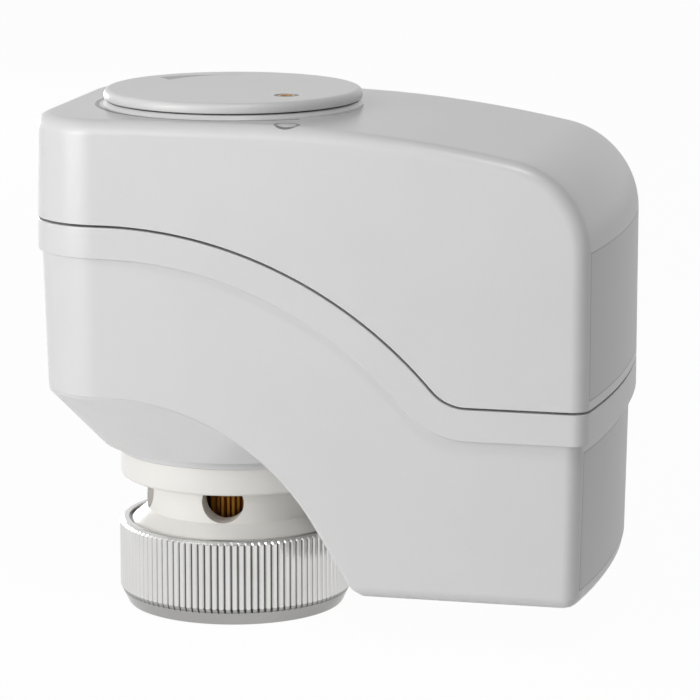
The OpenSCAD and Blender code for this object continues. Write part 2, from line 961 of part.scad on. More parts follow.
module motor_flange() {
    color(steel)
        difference() {
            union() {
                at_motor(can_top)
                    cylinder(r = motor_r, h = flange_t);
                for (p = ear_at)
                    translate([p[0], p[1], can_top])
                        cylinder(r = stud_r + ear_wall, h = flange_t);
            }
            holes(ear_at, stud_r + run_fit);
            holes([motor], bearing_r + seat_fit);
        }
}

module motor_coil() {
    color(copper)
        at_motor(can_foot + can_wall)
            difference() {
                cylinder(r = motor_r - can_wall - seat_fit, h = motor_h - can_wall);
                translate([0, 0, -1])
                    cylinder(r = motor_r - coil_in, h = motor_h + 2);
            }
}

module motor_rotor() {
    color(black)
        at_motor(can_foot + rotor_lift)
            difference() {
                cylinder(r = motor_r - rotor_in, h = motor_h - 4);
                translate([0, 0, -1])
                    cylinder(r = shaft_r + seat_fit, h = far);
            }
}

pinion_top = level_1 + gear_face + 0.5;

module motor_shaft() {
    color(steel)
        at_motor(can_foot)
            cylinder(r = shaft_r, h = pinion_top + 0.4 - can_foot);
}

module motor_pinion() {
    foot = base_top + 1;
    color(brass)
        difference() {
            at_motor(foot)
                gear(idler_module, pinion_teeth, lay[3] + mesh_turn, pinion_top - foot);
            holes([motor], shaft_r + seat_fit);
        }
}

module motor_bearings() {
    color(brass)
        difference() {
            union() {
                at_motor(can_foot)
                    cylinder(r = bearing_r, h = bearing_h);
                at_motor(can_top)
                    cylinder(r = bearing_r, h = flange_t + plate_t);
            }
            holes([motor], shaft_r + run_fit);
        }
}

module pan_screws(at, seat, length) {
    head_r = 2.1;
    head_h = 1.3;
    for (p = at)
        translate([p[0], p[1], seat - length]) {
            cylinder(r = stud_r, h = length);
            translate([0, 0, length])
                cylinder(r = head_r, h = head_h);
        }
}

module motor_screws() {
    color(steel)
        pan_screws(ear_at, base_top, plate_t + flange_t + 1);
}

module plate_screws() {
    color(steel)
        pan_screws(boss_at, base_top, plate_t + 5);
}

module circuit_board() {
    color(board_green)
        difference() {
            translate([post_left - 4, plate_in - half_w, board_z])
                cube([right_end - 11.4 - post_left, housing_w - 2 * plate_in, board_t]);
            holes(post_at, stud_r + run_fit);
            for (s = [-1, 1])
                translate([screw_right[0], s * screw_right[1], 0])
                    cylinder(r = pillar_room, h = far);
        }
}

module board_spacers() {
    color(ivory)
        for (p = post_at)
            translate([p[0], p[1], plate_top])
                difference() {
                    cylinder(r = post_r, h = board_lift);
                    translate([0, 0, -1])
                        cylinder(r = stud_r + seat_fit, h = board_lift + 2);
                }
}

module board_nuts() {
    nut_r = 2.3;
    nut_t = 1.4;
    color(steel)
        for (p = post_at)
            translate([p[0], p[1], board_top])
                difference() {
                    cylinder(r = nut_r, h = nut_t, $fn = 6);
                    translate([0, 0, -1])
                        cylinder(r = stud_r + seat_fit, h = 4);
                }
}

module terminal_block() {
    ways = 3;
    pitch = 5;
    depth = 8;
    height = 0.6 * board_room;
    wire_w = 2.8;
    screw_hole_r = 1.6;
    color(board_green)
        translate([right_end - 22.4, -ways * pitch / 2, board_top])
            difference() {
                cube([depth, ways * pitch, height]);
                for (k = [0 : ways - 1]) {
                    translate([depth / 2 - 1, (k + 0.5) * pitch, height - 2])
                        cylinder(r = screw_hole_r, h = 3);
                    translate([depth - 3, (k + 0.5) * pitch - wire_w / 2, 1])
                        cube([4, wire_w, 3]);
                }
            }
}

module phase_capacitor() {
    size = [14, 8, 0.65 * board_room];
    color("goldenrod")
        translate([post_left + 4, plate_in + 6 - half_w, board_top])
            cube(size);
}

module cable_grommet() {
    lip = 1.4;
    lip_out = 1.2;
    neck_out = inlet_r + inlet_wall;
    color(black)
        translate([inlet_x, inlet_y, box_floor_z - lip])
            difference() {
                union() {
                    cylinder(r = neck_out + lip_out, h = lip);
                    cylinder(r = neck_out, h = wall + 2 * lip);
                    translate([0, 0, wall + lip])
                        cylinder(r = neck_out + 1, h = lip);
                }
                translate([0, 0, -1])
                    cylinder(r = inlet_r, h = far);
            }
}

module housing_screw(x, y, seat) {
    length = 16;
    head_h = 2.2;
    slot = [3.6, 0.8, 2];
    translate([x, y, seat]) {
        cylinder(r = screw_r, h = length);
        translate([0, 0, -head_h])
            difference() {
                cylinder(r = screw_head_r, h = head_h);
                for (a = [0, 90])
                    rotate([0, 0, a])
                        translate([-slot[0] / 2, -slot[1] / 2, -1])
                            cube(slot);
            }
    }
}

module housing_screws() {
    color(steel)
        for (s = [-1, 1])
            housing_screw(screw_right[0], s * screw_right[1], right_seat_z);
}

lower_housing();
upper_cover();
valve_neck();
union_nut();
nut_snap_ring();
position_dial();
crank_socket();
drive_wheel();
spindle_nut();
spindle();
pusher();
spindle_pin();
gear_base_plate();
gear_top_plate();
plate_posts();
idler_axles();
idler_gear_1();
idler_gear_2();
idler_gear_3();
wheel_bush();
thrust_washer();
motor_can();
motor_flange();
motor_coil();
motor_rotor();
motor_shaft();
motor_pinion();
motor_bearings();
motor_screws();
plate_screws();
circuit_board();
board_spacers();
board_nuts();
terminal_block();
phase_capacitor();
cable_grommet();
housing_screws();
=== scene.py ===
# %% [markdown]
# # Motorised valve actuator head
# A small drive that sits on a radiator valve. A plated union nut clamps it to the
# valve, an ivory neck carries the head, and a grey two-part plastic housing holds the
# motor and its gears. A dial on top shows how far the pusher has moved.
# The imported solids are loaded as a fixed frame, and every visible outer piece is then
# modelled again by hand, with the same sizes, so that edges and finishes look right.

# %% Load the frame
import json
import math

import bmesh
import bpy
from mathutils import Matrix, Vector


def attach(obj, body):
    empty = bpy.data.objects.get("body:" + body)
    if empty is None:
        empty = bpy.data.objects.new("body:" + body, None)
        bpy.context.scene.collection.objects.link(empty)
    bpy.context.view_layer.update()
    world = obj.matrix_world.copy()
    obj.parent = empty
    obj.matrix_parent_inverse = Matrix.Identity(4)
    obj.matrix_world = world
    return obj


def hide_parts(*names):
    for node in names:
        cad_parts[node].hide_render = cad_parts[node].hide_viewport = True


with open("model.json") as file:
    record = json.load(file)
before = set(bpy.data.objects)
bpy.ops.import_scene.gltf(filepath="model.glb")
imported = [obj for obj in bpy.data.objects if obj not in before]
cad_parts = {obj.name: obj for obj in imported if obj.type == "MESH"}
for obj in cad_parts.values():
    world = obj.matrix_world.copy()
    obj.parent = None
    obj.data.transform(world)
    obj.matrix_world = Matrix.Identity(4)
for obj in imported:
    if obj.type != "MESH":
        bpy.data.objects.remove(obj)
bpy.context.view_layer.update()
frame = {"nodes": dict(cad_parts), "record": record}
nodes = frame["nodes"]
MM = 0.001
print("solids:", len(nodes))

# %% [markdown]
# ## Camera
# The picture is taken from the front, a little from the right and from above, with a
# long lens. The distance and the lens come from fitting known edges to the picture.

# %% Camera
look_at = Vector((18.76, 0, 41.22)) * MM
away, turn, lift = 585 * MM, math.radians(13.16), math.radians(11.27)
level = math.cos(lift)
back = Vector((math.sin(turn) * level, -math.cos(turn) * level, math.sin(lift)))
bpy.ops.object.camera_add(location=look_at + away * back)
camera = bpy.context.object
camera.rotation_euler = back.to_track_quat("Z", "Y").to_euler()
camera.data.lens = 191.1
camera.data.sensor_width = 36
bpy.context.scene.camera = camera
print("camera at", [round(c / MM, 1) for c in camera.location])

# %% [markdown]
# ## Working by hand in code
# These helpers stand for what a hand does in the viewport. One chooses pieces, one
# opens a piece in edit mode, and one picks vertices, edges or faces by a test on their
# place or normal. An operator acts on all that is selected, so every helper deselects
# first. All sizes are written in millimetres.

# %% Helpers for edit mode
def mm(*values):
    return Vector(values) * MM


def choose(*pieces):
    bpy.ops.object.select_all(action="DESELECT")
    for piece in pieces:
        piece.select_set(True)
    if pieces:
        bpy.context.view_layer.objects.active = pieces[0]


def open_edit(piece):
    choose(piece)
    bpy.ops.object.mode_set(mode="EDIT")


def close_edit():
    bpy.ops.object.mode_set(mode="OBJECT")


def pick(kind, wanted):
    bpy.ops.mesh.select_mode(type=kind)
    bpy.ops.mesh.select_all(action="DESELECT")
    mesh = bmesh.from_edit_mesh(bpy.context.edit_object.data)
    mesh.normal_update()
    items = {"VERT": mesh.verts, "EDGE": mesh.edges, "FACE": mesh.faces}[kind]
    chosen = [item for item in items if wanted(item)]
    for item in chosen:
        item.select_set(True)
    bmesh.update_edit_mesh(bpy.context.edit_object.data)
    return len(chosen)


def round_edges(wanted, radius, segments):
    if pick("EDGE", wanted):
        bpy.ops.mesh.bevel(offset_type="OFFSET", offset=radius * MM, segments=segments,
                           affect="EDGES")


print("edit helpers ready")

# %% [markdown]
# ## Welding, modifiers and tests on edges
# A spun or pulled outline leaves double points, so it is welded and its faces are then
# turned outwards. A modifier is added and applied in one go, and a cut or a join is a
# Boolean with a second piece that is thrown away. Smooth shading stops at real edges.

# %% Helpers for whole pieces
weld_gap = 0.002


def weld():
    bpy.ops.mesh.select_all(action="SELECT")
    bpy.ops.mesh.remove_doubles(threshold=weld_gap * MM)


def weld_and_face_out():
    bpy.ops.mesh.select_mode(type="VERT")
    weld()
    bpy.ops.mesh.normals_make_consistent(inside=False)


def use_modifier(piece, kind, **settings):
    choose(piece)
    modifier = piece.modifiers.new(kind.lower(), kind)
    for key, value in settings.items():
        setattr(modifier, key, value)
    bpy.ops.object.modifier_apply(modifier=modifier.name)


def carve(piece, tool, operation="DIFFERENCE"):
    use_modifier(piece, "BOOLEAN", object=tool, operation=operation, solver="EXACT")
    bpy.data.objects.remove(tool, do_unlink=True)


def smooth(piece, degrees=30):
    choose(piece)
    bpy.ops.object.shade_smooth_by_angle(angle=math.radians(degrees))
    use_modifier(piece, "WEIGHTED_NORMAL", keep_sharp=True)
    print(piece.name, len(piece.data.polygons), "faces")


def ends(edge):
    return [v.co / MM for v in edge.verts]


def sharp(edge, degrees=50):
    return len(edge.link_faces) == 2 and edge.calc_face_angle() > math.radians(degrees)


print("piece helpers ready")

# %% [markdown]
# ## A pen for outlines
# An outline starts as one vertex. Extruding that vertex draws a straight line, and
# spinning it round a centre draws an arc, so each outline is a list of plain strokes
# like those on a workshop drawing. A face is then filled in and pulled sideways, or
# the outline is spun round an upright axis as on a lathe.

# %% Pen
class Pen:
    def __init__(self, name, x, z, y=0):
        choose()
        bpy.ops.mesh.primitive_plane_add(size=MM)
        self.piece = bpy.context.object
        self.piece.name = name
        self.x, self.y, self.z = x, y, z
        open_edit(self.piece)
        bpy.ops.mesh.select_mode(type="VERT")
        bpy.ops.mesh.select_all(action="SELECT")
        bpy.ops.mesh.merge(type="CENTER")
        bpy.ops.transform.translate(value=mm(x, y, z))

    def line(self, x, z):
        step = mm(x - self.x, 0, z - self.z)
        bpy.ops.mesh.extrude_region_move(TRANSFORM_OT_translate={"value": step})
        self.x, self.z = x, z

    def lines(self, *points):
        for x, z in points:
            self.line(x, z)

    def arc(self, x, z, degrees, steps):
        angle = math.radians(degrees)
        bpy.ops.mesh.spin(steps=steps, angle=angle, center=mm(x, self.y, z), axis=(0, 1, 0))
        dx, dz = self.x - x, self.z - z
        self.x = x + dx * math.cos(angle) - dz * math.sin(angle)
        self.z = z + dx * math.sin(angle) + dz * math.cos(angle)

    def fill(self):
        weld()
        bpy.ops.mesh.edge_face_add()
        return self.piece

    def pull(self, width):
        self.fill()
        bpy.ops.mesh.extrude_region_move(TRANSFORM_OT_translate={"value": mm(0, width, 0)})
        weld_and_face_out()

    def turn(self, steps, x=0, y=0):
        weld()
        bpy.ops.mesh.select_all(action="SELECT")
        bpy.ops.mesh.spin(steps=steps, angle=math.tau, center=mm(x, y, 0), axis=(0, 0, 1))
        weld_and_face_out()
        return self.piece

    def done(self):
        weld_and_face_out()
        close_edit()
        return self.piece


print("pen ready")

# %% [markdown]
# ## Rods for pillars and holes
# Pillars and holes are round, so their tools start as cylinders. Most come in pairs,
# one on each side of the housing, and each set is joined to make one cut of it.

# %% Rods
def rod(name, x, y, low, high, r, vertices=64):
    choose()
    bpy.ops.mesh.primitive_cylinder_add(vertices=vertices, radius=r * MM,
                                        depth=(high - low) * MM,
                                        location=mm(x, y, (low + high) / 2))
    piece = bpy.context.object
    piece.name = name
    bpy.ops.object.transform_apply(location=True, rotation=True, scale=True)
    return piece


def rods(name, places, vertices=64):
    pieces = [rod(name, *place, vertices=vertices) for place in places]
    choose(*pieces)
    bpy.ops.object.join()
    return pieces[0]


def pair(x, y, low, high, r):
    return [(x, side * y, low, high, r) for side in (-1, 1)]


print("rods ready")

# %% [markdown]
# ## Sizes of the housing
# The top runs level, falls away on a large arc and turns down at the right end on a
# round corner. The right end bulges a little and the left corners are well rounded.
# The centre of the corner comes from the two arcs, which have to touch.

# %% Sizes
half_w, left_end, right_end = 25, -27.5, 60.5
left_r, wall, crown = 12, 2.2, 1.7
top_z, flat_end, fall_r = 79.85, 8, 205
corner_r = 14
corner_x = right_end - corner_r
corner_z = top_z - fall_r + math.sqrt((fall_r - corner_r) ** 2 - (corner_x - flat_end) ** 2)
fall = math.degrees(math.asin((corner_x - flat_end) / (fall_r - corner_r)))
print("top falls by", round(fall, 2), "degrees")

# %% [markdown]
# ## Parting line
# The two shells meet on a line that runs level at the left, sweeps down in an arch and
# runs out level again at the right through a small fillet. Both shells, and the raised
# band under the line, follow the same strokes, so they always fit each other.

# %% Parting line
line_left, line_right = 63.84, 38.3
arch_x, arch_r, fillet_r = -14, 68.2, 7
arch_z = line_left - arch_r
fillet_z = line_right + fillet_r
fillet_x = arch_x + math.sqrt((arch_r + fillet_r) ** 2 - (fillet_z - arch_z) ** 2)
sweep = 90 - math.degrees(math.atan2(fillet_z - arch_z, fillet_x - arch_x))
arch_steps, fillet_steps = 32, 12


def parting_to_left(pen, drop, left):
    pen.line(fillet_x, line_right - drop)
    pen.arc(fillet_x, fillet_z, -sweep, fillet_steps)
    pen.arc(arch_x, arch_z, sweep, arch_steps)
    pen.line(left, line_left - drop)


def parting_to_right(pen, drop, right):
    pen.line(arch_x, line_left - drop)
    pen.arc(arch_x, arch_z, -sweep, arch_steps)
    pen.arc(fillet_x, fillet_z, sweep, fillet_steps)
    pen.line(right, line_right - drop)


print("the arch sweeps", round(sweep, 2), "degrees")

# %% [markdown]
# ## From side view to moulding
# Every form of the housing is pulled to its width, gets its two left corners rounded,
# and bulges at the right end. The end is sliced first, so that it has points enough to
# bend, and the points then move out by a parabola across the width.

# %% Moulding
slice_step, last_slice = 4, 20


def share(part):
    return min(max(part, 0), 1)


def bulge_end(inset):
    for y in range(-last_slice, last_slice + 1, slice_step):
        pick("FACE", lambda f: f.calc_center_median().x > corner_x * MM)
        bpy.ops.mesh.bisect(plane_co=mm(0, y, 0), plane_no=(0, 1, 0))
    mesh = bmesh.from_edit_mesh(bpy.context.edit_object.data)
    for v in mesh.verts:
        reach = share((v.co.x / MM - corner_x) / (corner_r - inset))
        v.co.x += crown * reach * (1 - (v.co.y / MM / half_w) ** 2) * MM
    bmesh.update_edit_mesh(bpy.context.edit_object.data)


def mould(pen, inset):
    left = left_end + inset

    def upright_at_left(e):
        a, b = ends(e)
        return abs(a.x - left) < 0.01 and abs(b.x - left) < 0.01 and abs(a.y - b.y) < 0.001

    pen.pull(2 * (half_w - inset))
    round_edges(upright_at_left, radius=left_r - inset, segments=14)
    bulge_end(inset)


print("moulding ready")

# %% [markdown]
# ## Upper cover
# The cover is an injection moulding. Its side view is drawn and moulded, and the edge
# round the top is softened. A second, smaller form cut out of the first leaves an even
# wall, just as the mould's core does, and lets the inside have edges of its own.

# %% Upper cover
def cover_form(name, inset, drop, edge_r):
    left, right = left_end + inset, right_end - inset
    pen = Pen(name, left, line_left - drop, inset - half_w)
    pen.lines((left, top_z - inset), (flat_end, top_z - inset))
    pen.arc(flat_end, top_z - fall_r, -fall, 10)
    pen.arc(corner_x, corner_z, fall - 90, 20)
    pen.line(right, line_right - drop)
    parting_to_left(pen, drop, left)
    mould(pen, inset)
    round_edges(lambda e: sharp(e) and all(f.normal.z > -0.3 for f in e.link_faces),
                radius=edge_r, segments=5)
    return pen.done()


cover = cover_form("cover_shell", inset=0, drop=0, edge_r=2.3)
carve(cover, cover_form("cover_core", inset=wall, drop=3, edge_r=0.6))
print("cover wall", wall, "mm")

# %% [markdown]
# ## Inside of the cover, and the plinth
# Two pins at the left find the lower shell, and two screws at the right hold it, so the
# cover has a pillar for each. The dial stands on a low round plinth, which is turned on
# the lathe and joined on, and its stem passes through a hole.

# %% Pillars, pins and plinth
screw_x, screw_y, pin_x, pin_y = right_end - 6.4, 18.5, -19.5, 16.5
pillar_r, pin_r, screw_r = 4.4, 1.6, 1.5
pillars = pair(pin_x, pin_y, line_left, top_z - 1, pillar_r)
pillars += pair(screw_x, screw_y, line_right, corner_z, pillar_r)
carve(cover, rods("pillars", pillars), "UNION")
pins = pair(pin_x, pin_y, line_left - 6, line_left + 1, pin_r)
carve(cover, rods("pins", pins, 32), "UNION")

plinth_r, plinth_low, plinth_top = 20.4, top_z - wall + 0.1, top_z + 0.65
pen = Pen("plinth", 0, plinth_low)
pen.lines((plinth_r, plinth_low), (plinth_r, top_z + 0.05),
          (plinth_r - 0.5, plinth_top), (0, plinth_top))
plinth = pen.turn(160)
close_edit()
carve(cover, plinth, "UNION")

stem_hole = (0, 0, 60, 90, 5.3)
holes = pair(screw_x, screw_y, line_right - 5, line_right + 10, screw_r) + [stem_hole]
carve(cover, rods("holes", holes))
smooth(cover)

# %% [markdown]
# ## Lower shell
# The lower shell has the valve bay cut into it: a quarter arch over the valve that
# runs into the sloping wall of the motor box. It stands back a little from the cover.
# Its walls lean in by one degree, as a moulding needs to leave its tool.

# %% Draft
bay_x, bay_r, bay_slope, head_z, floor_z = -13.5, 37.2, 59, 36.4, 7.3
bay_z = head_z - bay_r
seam, set_back = 0.38, 0.5
draft_per_mm, left_lean = math.tan(math.radians(1)), 0.0124
left_from, left_over, right_from, right_over = -15, 12.5, 50, 10


def lean(inset):
    mesh = bmesh.from_edit_mesh(bpy.context.edit_object.data)
    side = half_w - inset
    for v in mesh.verts:
        x, below = v.co.x / MM, line_left - min(v.co.z / MM, line_left)
        draft = below * draft_per_mm
        v.co.y *= 1 - draft / side
        at_left = share((left_from - x) / left_over)
        at_right = share((x - right_from) / right_over)
        v.co.x += (at_left * (draft + below * left_lean) - at_right * draft) * MM
    bmesh.update_edit_mesh(bpy.context.edit_object.data)


print("the lower shell starts", seam, "mm under the cover")

# %% [markdown]
# The shell and its hollow core are the same strokes with other insets. The edges of the
# motor box are picked by place and get a large round, and those of the bay a small one.

# %% Lower shell
def tub_form(name, inset, floor, grow, drop, edge_r, bay_edge_r):
    left, right = left_end + inset, right_end - inset
    slope = math.radians(bay_slope)
    touch_x = bay_x + (bay_r + grow) * math.sin(slope)
    touch_z = bay_z + (bay_r + grow) * math.cos(slope)
    foot_x = touch_x + (touch_z - floor) / math.tan(slope)
    pen = Pen(name, left, line_left - drop, inset - half_w)
    parting_to_right(pen, drop, right)
    pen.lines((right, floor), (foot_x, floor), (touch_x, touch_z))
    pen.arc(bay_x, bay_z, bay_slope, 28)
    pen.lines((left, head_z + grow), (left, line_left - drop))
    mould(pen, inset)
    lean(inset)

    def along_box(e):
        at_floor = all(abs(c.z - floor) < 0.05 and c.x > foot_x - 0.1 for c in ends(e))
        at_end = all(c.x > right - 3 and c.z < line_right - drop + 0.1 for c in ends(e))
        on_top = all(abs(c.z - line_right + drop) < 0.1 for c in ends(e))
        return sharp(e, 40) and (at_floor or at_end) and not on_top

    def along_bay(e):
        looks_down = all(f.normal.z < 0.3 for f in e.link_faces)
        return sharp(e) and looks_down and all(c.z < head_z + 0.1 for c in ends(e))

    round_edges(along_box, radius=edge_r, segments=4)
    if bay_edge_r:
        round_edges(along_bay, radius=bay_edge_r, segments=3)
    return pen.done()


lower = tub_form("lower_shell", inset=set_back, floor=floor_z, grow=0, drop=seam,
                 edge_r=2.2, bay_edge_r=0.6)
print("lower shell", len(lower.data.polygons), "faces before the joins")

# %% [markdown]
# ## Raised band
# A band as wide as the cover runs along under the parting line and hides the step
# between the shells. It is joined on before the core is cut, so that the core hollows
# both at once.

# %% Raised band
def band_form(name, foot):
    pen = Pen(name, left_end, line_left - seam, -half_w)
    parting_to_right(pen, seam, right_end)
    pen.line(right_end, line_right - foot)
    parting_to_left(pen, foot, left_end)
    pen.line(left_end, line_left - seam)
    mould(pen, 0)
    round_edges(lambda e: sharp(e) and all(abs(f.normal.z) < 0.3 for f in e.link_faces),
                radius=2.2, segments=5)
    round_edges(sharp, radius=0.25, segments=2)
    return pen.done()


carve(lower, band_form("parting_band", foot=5.3), "UNION")
carve(lower, tub_form("lower_core", inset=set_back + wall, floor=floor_z + wall, grow=wall,
                      drop=-3, edge_r=0.6, bay_edge_r=0))
print("band joined and shell hollowed")

# %% [markdown]
# ## Funnel over the neck
# Under the head the housing narrows from a rounded square to the round collar. A plate
# with two rounded corners and two circles are placed over each other, and their convex
# hull is the funnel. A short round lip closes it over the collar.

# %% Funnel
collar_r, collar_low, collar_top, lip_h = 18.2, 20.8, 25.1, 1.1
funnel_left, funnel_right = left_end + set_back + 0.92, 10
funnel_side, funnel_corner = half_w - set_back - 0.58, 10.9


def funnel_form(name):
    choose()
    bpy.ops.mesh.primitive_plane_add(size=MM)
    piece = bpy.context.object
    piece.name = name
    open_edit(piece)
    bpy.ops.transform.resize(value=(funnel_right - funnel_left, 2 * funnel_side, 1))
    bpy.ops.transform.translate(value=mm((funnel_right + funnel_left) / 2, 0, head_z))
    pick("VERT", lambda v: v.co.x < 0)
    bpy.ops.mesh.bevel(offset_type="OFFSET", offset=funnel_corner * MM, segments=14,
                       affect="VERTICES")
    bpy.ops.mesh.select_all(action="SELECT")
    bpy.ops.mesh.extrude_region_move(TRANSFORM_OT_translate={"value": mm(0, 0, wall)})
    for r, z in ((collar_r + 3, collar_top + 1.6), (collar_r + 0.4, collar_top + lip_h)):
        bpy.ops.mesh.primitive_circle_add(vertices=96, radius=r * MM, location=mm(0, 0, z))
    bpy.ops.mesh.select_all(action="SELECT")
    bpy.ops.mesh.convex_hull()
    weld_and_face_out()
    close_edit()
    return piece


carve(lower, funnel_form("funnel"), "UNION")
lip = rod("funnel_lip", 0, 0, low=collar_top, high=collar_top + 6, r=collar_r + 0.6,
          vertices=128)
open_edit(lip)
round_edges(lambda e: sharp(e) and all(c.z < collar_top + 1 for c in ends(e)),
            radius=0.35, segments=4)
close_edit()
carve(lower, lip, "UNION")
print("funnel joined")

# %% [markdown]
# ## Wells and holes of the lower shell
# The two screws stand in deep wells from below, the cover's pins drop into sockets at
# the left, the cable inlet is a hole in the floor, and the neck's spigot and collar
# have their own seats. The tubes are joined on first and then drilled.

# %% Wells and holes
inlet_x, inlet_y, spigot_r = 36, 13.6, 12
tubes = pair(pin_x, pin_y, head_z, line_left - 0.1, pillar_r)
tubes += pair(screw_x, screw_y, floor_z + 1, line_right - 0.1, pillar_r)
carve(lower, rods("well_tubes", tubes), "UNION")
inlet_hole = (inlet_x, inlet_y, 0, 12, 5.02)
wells = pair(screw_x, screw_y, 0, line_right - 8, 3.2) + [inlet_hole]
carve(lower, rods("wells", wells, 48))
narrow = pair(screw_x, screw_y, 20, 50, screw_r)
narrow += pair(pin_x, pin_y, line_left - 7, line_left + 5, pin_r + 0.05)
carve(lower, rods("narrow_holes", narrow, 32))
carve(lower, rod("spigot_hole", 0, 0, low=0, high=60, r=spigot_r + 0.02, vertices=96))
carve(lower, rod("collar_pocket", 0, 0, low=0, high=collar_top, r=collar_r + 0.3, vertices=128))
smooth(lower)

# %% [markdown]
# ## Valve neck
# The neck is a turned and drilled piece of ivory plastic. Its half section is drawn
# once and spun round the valve axis, its edges are broken, and five holes are cut
# through its wall. The collar stays whole over the holes.

# %% Valve neck
neck_low, neck_top, neck_bore = 8.2, 40, 10
flange_r, flange_top, groove_r = 16.7, 11.5, 15.3
rim_r, rim_low, rim_top = 16.6, 12.85, 13.3
neck_r, waist_z = 14.1, 15.45
pen = Pen("neck_body", neck_bore, neck_low)
pen.lines((flange_r, neck_low), (flange_r, flange_top), (groove_r, flange_top),
          (groove_r, rim_low), (rim_r, rim_low), (rim_r, rim_top), (neck_r, waist_z),
          (neck_r, collar_low), (collar_r, collar_low), (collar_r, collar_top),
          (spigot_r, collar_top), (spigot_r, neck_top), (neck_bore, neck_top),
          (neck_bore, neck_low))
neck = pen.turn(160)


def collar_foot(e):
    return sharp(e) and all(abs(c.z - collar_low) < 0.1 and c.xy.length > 18 for c in ends(e))


round_edges(collar_foot, radius=0.6, segments=4)
round_edges(lambda e: sharp(e) and all(c.xy.length > 13 for c in ends(e)),
            radius=0.2, segments=2)
close_edit()
print("neck turned")

# %% [markdown]
# The drill is made once, lying along the X axis, and a copy of it is turned to each of
# the five places.

# %% Holes of the neck
hole_count, hole_r, hole_z, first_hole = 5, 3.3, 18.8, -83.5
hole = rod("neck_hole", 0, 0, low=8, high=15.3, r=hole_r, vertices=48)
open_edit(hole)
bpy.ops.mesh.select_all(action="SELECT")
bpy.ops.transform.rotate(value=math.radians(-90), orient_axis="Y", center_override=(0, 0, 0))
close_edit()
for k in range(hole_count):
    tool = hole.copy()
    tool.data = hole.data.copy()
    bpy.context.scene.collection.objects.link(tool)
    tool.rotation_euler = (0, 0, math.radians(360 / hole_count * k + first_hole))
    tool.location = mm(0, 0, hole_z)
    bpy.context.view_layer.update()
    carve(neck, tool)
bpy.data.objects.remove(hole, do_unlink=True)
smooth(neck)

# %% [markdown]
# ## Union nut
# The nut is turned from brass, knurled and plated. The section is spun with four
# columns to each rib of the knurl, and three of the four are pushed outwards at once,
# so that no groove has to be cut on its own.

# %% Union nut
ribs, root_r, crest_r = 108, 18.1, 18.5
thread_r, thread_low, thread_top = 15.1, 1, 8
cup_r, nut_top, foot_r = 17.0, 13.7, 17.15
ring_groove_r, ring_groove_low, ring_groove_top = 17.45, 11.6, 12.7
pen = Pen("nut_body", thread_r, thread_low)
pen.lines((16.0, 0), (foot_r, 0), (root_r, 1.97), (root_r, 2.8), (root_r, 13.0),
          (root_r, 13.35), (17.8, nut_top), (cup_r, nut_top), (cup_r, ring_groove_top),
          (ring_groove_r, ring_groove_top), (ring_groove_r, ring_groove_low),
          (cup_r, ring_groove_low), (cup_r, thread_top), (thread_r, thread_top),
          (thread_r, thread_low))
nut = pen.turn(4 * ribs)


def on_crest(v):
    column = round(math.degrees(math.atan2(v.co.y, v.co.x)) / (90 / ribs)) % 4
    return column < 3 and v.co.xy.length > 18 * MM and 2.2 < v.co.z / MM < 13.1


def outer_rim(e):
    outside = all(v.co.xy.length > cup_r * MM for v in e.verts)
    at_foot = all(c.z < 0.1 for c in ends(e))
    at_top = all(c.z > nut_top - 0.1 for c in ends(e))
    return sharp(e, 30) and outside and (at_foot or at_top)


pick("VERT", on_crest)
grow = crest_r / root_r
bpy.ops.transform.resize(value=(grow, grow, 1), center_override=(0, 0, 0))
round_edges(outer_rim, radius=0.15, segments=2)
close_edit()
print("nut with", ribs, "ribs")

# %% [markdown]
# A helical ridge in the bore is the thread that takes the valve. Its section is drawn,
# a Screw modifier winds it, and its two ends are filled.

# %% Thread of the nut
pitch, turns, ridge_root, ridge_tip = 1.5, 4, 15.2, 14.25
pen = Pen("thread", ridge_root, 1.0)
pen.lines((ridge_tip, 1.55), (ridge_tip, 1.75), (ridge_root, 2.3), (ridge_root, 1.0))
weld()
close_edit()
use_modifier(pen.piece, "SCREW", axis="Z", angle=math.tau, screw_offset=pitch * MM,
             iterations=turns, steps=72, render_steps=72, use_merge_vertices=False)
open_edit(pen.piece)
pick("EDGE", lambda e: len(e.link_faces) == 1)
bpy.ops.mesh.fill()
thread = pen.done()
choose(nut, thread)
bpy.ops.object.join()
smooth(nut, 25)

# %% [markdown]
# ## Snap ring and grommet
# The spring ring that holds the nut and the rubber grommet of the cable inlet are lathe
# work too. The ring is spun almost all the way round, which leaves the gap that lets it
# spring open.

# %% Snap ring and grommet
ring_in, ring_out, ring_low, ring_top = 15.6, 17.43, 11.65, 12.65
pen = Pen("snap_ring", ring_in, ring_low)
pen.lines((ring_out, ring_low), (ring_out, ring_top), (ring_in, ring_top), (ring_in, ring_low))
ring = pen.fill()
gap, gap_at = 2 * math.asin(1.5 / 16.5), math.radians(70)
bpy.ops.transform.rotate(value=-gap_at - gap / 2, orient_axis="Z", center_override=(0, 0, 0))
bpy.ops.mesh.spin(steps=120, angle=math.tau - gap, center=(0, 0, 0), axis=(0, 0, 1))
weld_and_face_out()
round_edges(sharp, radius=0.12, segments=2)
close_edit()
smooth(ring)

cord_r, foot_z, head_top = 3.3, 5.9, 10.9
pen = Pen("grommet", inlet_x + cord_r, foot_z, inlet_y)
for r, z in ((6.2, foot_z), (6.2, 7.3), (5.0, 7.3), (5.0, 9.5), (6.0, 9.5), (6.0, head_top),
             (cord_r, head_top), (cord_r, foot_z)):
    pen.line(inlet_x + r, z)
grommet = pen.turn(64, inlet_x, inlet_y)
round_edges(sharp, radius=0.35, segments=3)
close_edit()
smooth(grommet)

# %% [markdown]
# ## Key socket
# A small brass socket sits in the dial, for turning the drive by hand with a hexagon
# key. It is turned, and the hexagon is cut with a rod of six sides.

